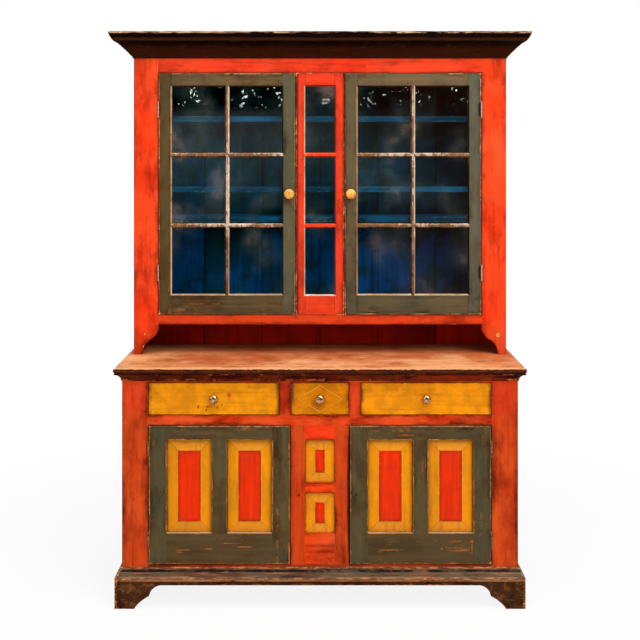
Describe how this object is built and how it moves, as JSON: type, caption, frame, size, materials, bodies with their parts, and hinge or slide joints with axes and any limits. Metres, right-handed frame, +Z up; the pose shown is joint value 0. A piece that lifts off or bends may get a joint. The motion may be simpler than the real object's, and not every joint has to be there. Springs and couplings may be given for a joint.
{
  "type": "step back cupboard",
  "caption": "Step back cupboard with glazed doors over drawers and panelled doors, on scrolled bracket feet, in worn red, green and ochre paint.",
  "frame": {"origin": "middle of the footprint of the worktop, on the floor", "axes": "+Z up, front towards -Y, +X to the right of someone facing the front"},
  "size_m": [1.586, 0.533, 2.082],
  "materials": {
    "red_paint": "worn vermilion paint on boards",
    "green_paint": "worn dark olive paint",
    "ochre_paint": "ochre paint with vermilion fields",
    "dark_paint": "dark brown paint worn along the edges",
    "blue_paint": "dark blue paint",
    "worktop_wood": "worn waxed board",
    "bare_wood": "bare old pine",
    "door_knob": "turned and painted",
    "drawer_knob": "dull brass",
    "hinge_iron": "dark wrought iron",
    "window_glass": "thin clear panes"
  },
  "bodies": {
    "case": {"base_moulding": "dark_paint", "bracket_front": "dark_paint", "bracket_sides": "dark_paint", "centre_light_bars": "red_paint", "centre_light_frame": "red_paint", "centre_light_glass": "window_glass", "cornice": "dark_paint", "drawer_dividers": "red_paint", "drawer_guides": "bare_wood", "drawer_kickers": "bare_wood", "drawer_runners": "bare_wood", "foot_blocks": "bare_wood", "hinge_case_leaves": "hinge_iron", "hinge_pins": "hinge_iron", "lower_back": "bare_wood", "lower_bottom": "bare_wood", "lower_centre_frame": "red_paint", "lower_centre_panels": "ochre_paint", "lower_rails": "red_paint", "lower_shelf": "bare_wood", "lower_sides": "red_paint", "lower_stiles": "red_paint", "plate_rail": "blue_paint", "upper_back": "blue_paint", "upper_bottom": "blue_paint", "upper_rails": "red_paint", "upper_shelves": "blue_paint", "upper_sides": "red_paint", "upper_stiles": "red_paint", "upper_top": "blue_paint", "worktop": "worktop_wood", "worktop_cove": "worktop_wood"},
    "upper_door_left": {"upper_door_left_frame": "green_paint", "upper_door_left_bars": "green_paint", "upper_door_left_glass": "window_glass", "upper_door_left_hinge_leaves": "hinge_iron"},
    "upper_door_left_latch": {"upper_door_left_knob": "door_knob", "upper_door_left_catch": "bare_wood"},
    "lower_door_left": {"lower_door_left_frame": "green_paint", "lower_door_left_panels": "ochre_paint", "lower_door_left_hinge_leaves": "hinge_iron"},
    "upper_door_right": {"upper_door_right_frame": "green_paint", "upper_door_right_bars": "green_paint", "upper_door_right_glass": "window_glass", "upper_door_right_hinge_leaves": "hinge_iron"},
    "upper_door_right_latch": {"upper_door_right_knob": "door_knob", "upper_door_right_catch": "bare_wood"},
    "lower_door_right": {"lower_door_right_frame": "green_paint", "lower_door_right_panels": "ochre_paint", "lower_door_right_hinge_leaves": "hinge_iron"},
    "drawer_left": {"drawer_left_front": "ochre_paint", "drawer_left_box": "bare_wood", "drawer_left_knob": "drawer_knob"},
    "drawer_centre": {"drawer_centre_front": "ochre_paint", "drawer_centre_box": "bare_wood", "drawer_centre_knob": "drawer_knob"},
    "drawer_right": {"drawer_right_front": "ochre_paint", "drawer_right_box": "bare_wood", "drawer_right_knob": "drawer_knob"}
  },
  "joints": [
    {"name": "upper_door_left_swing", "type": "hinge", "parent": "case", "child": "upper_door_left", "pos_m": [-0.616, 0.015, 1.47], "axis": [0, 0, -1], "range_deg": [0, 165]},
    {"name": "upper_door_left_latch_turn", "type": "hinge", "parent": "upper_door_left", "child": "upper_door_left_latch", "pos_m": [-0.1175, 0.0195, 1.47], "axis": [0, -1, 0], "range_deg": [0, 90]},
    {"name": "lower_door_left_swing", "type": "hinge", "parent": "case", "child": "lower_door_left", "pos_m": [-0.615, -0.242, 0.4], "axis": [0, 0, -1], "range_deg": [0, 165]},
    {"name": "upper_door_right_swing", "type": "hinge", "parent": "case", "child": "upper_door_right", "pos_m": [0.616, 0.015, 1.47], "axis": [0, 0, 1], "range_deg": [0, 165]},
    {"name": "upper_door_right_latch_turn", "type": "hinge", "parent": "upper_door_right", "child": "upper_door_right_latch", "pos_m": [0.1175, 0.0195, 1.47], "axis": [0, 1, 0], "range_deg": [0, 90]},
    {"name": "lower_door_right_swing", "type": "hinge", "parent": "case", "child": "lower_door_right", "pos_m": [0.615, -0.242, 0.4], "axis": [0, 0, 1], "range_deg": [0, 165]},
    {"name": "drawer_left_slide", "type": "slide", "parent": "case", "child": "drawer_left", "axis": [0, -1, 0], "range_m": [0, 0.3]},
    {"name": "drawer_centre_slide", "type": "slide", "parent": "case", "child": "drawer_centre", "axis": [0, -1, 0], "range_m": [0, 0.3]},
    {"name": "drawer_right_slide", "type": "slide", "parent": "case", "child": "drawer_right", "axis": [0, -1, 0], "range_m": [0, 0.3]}
  ]
}
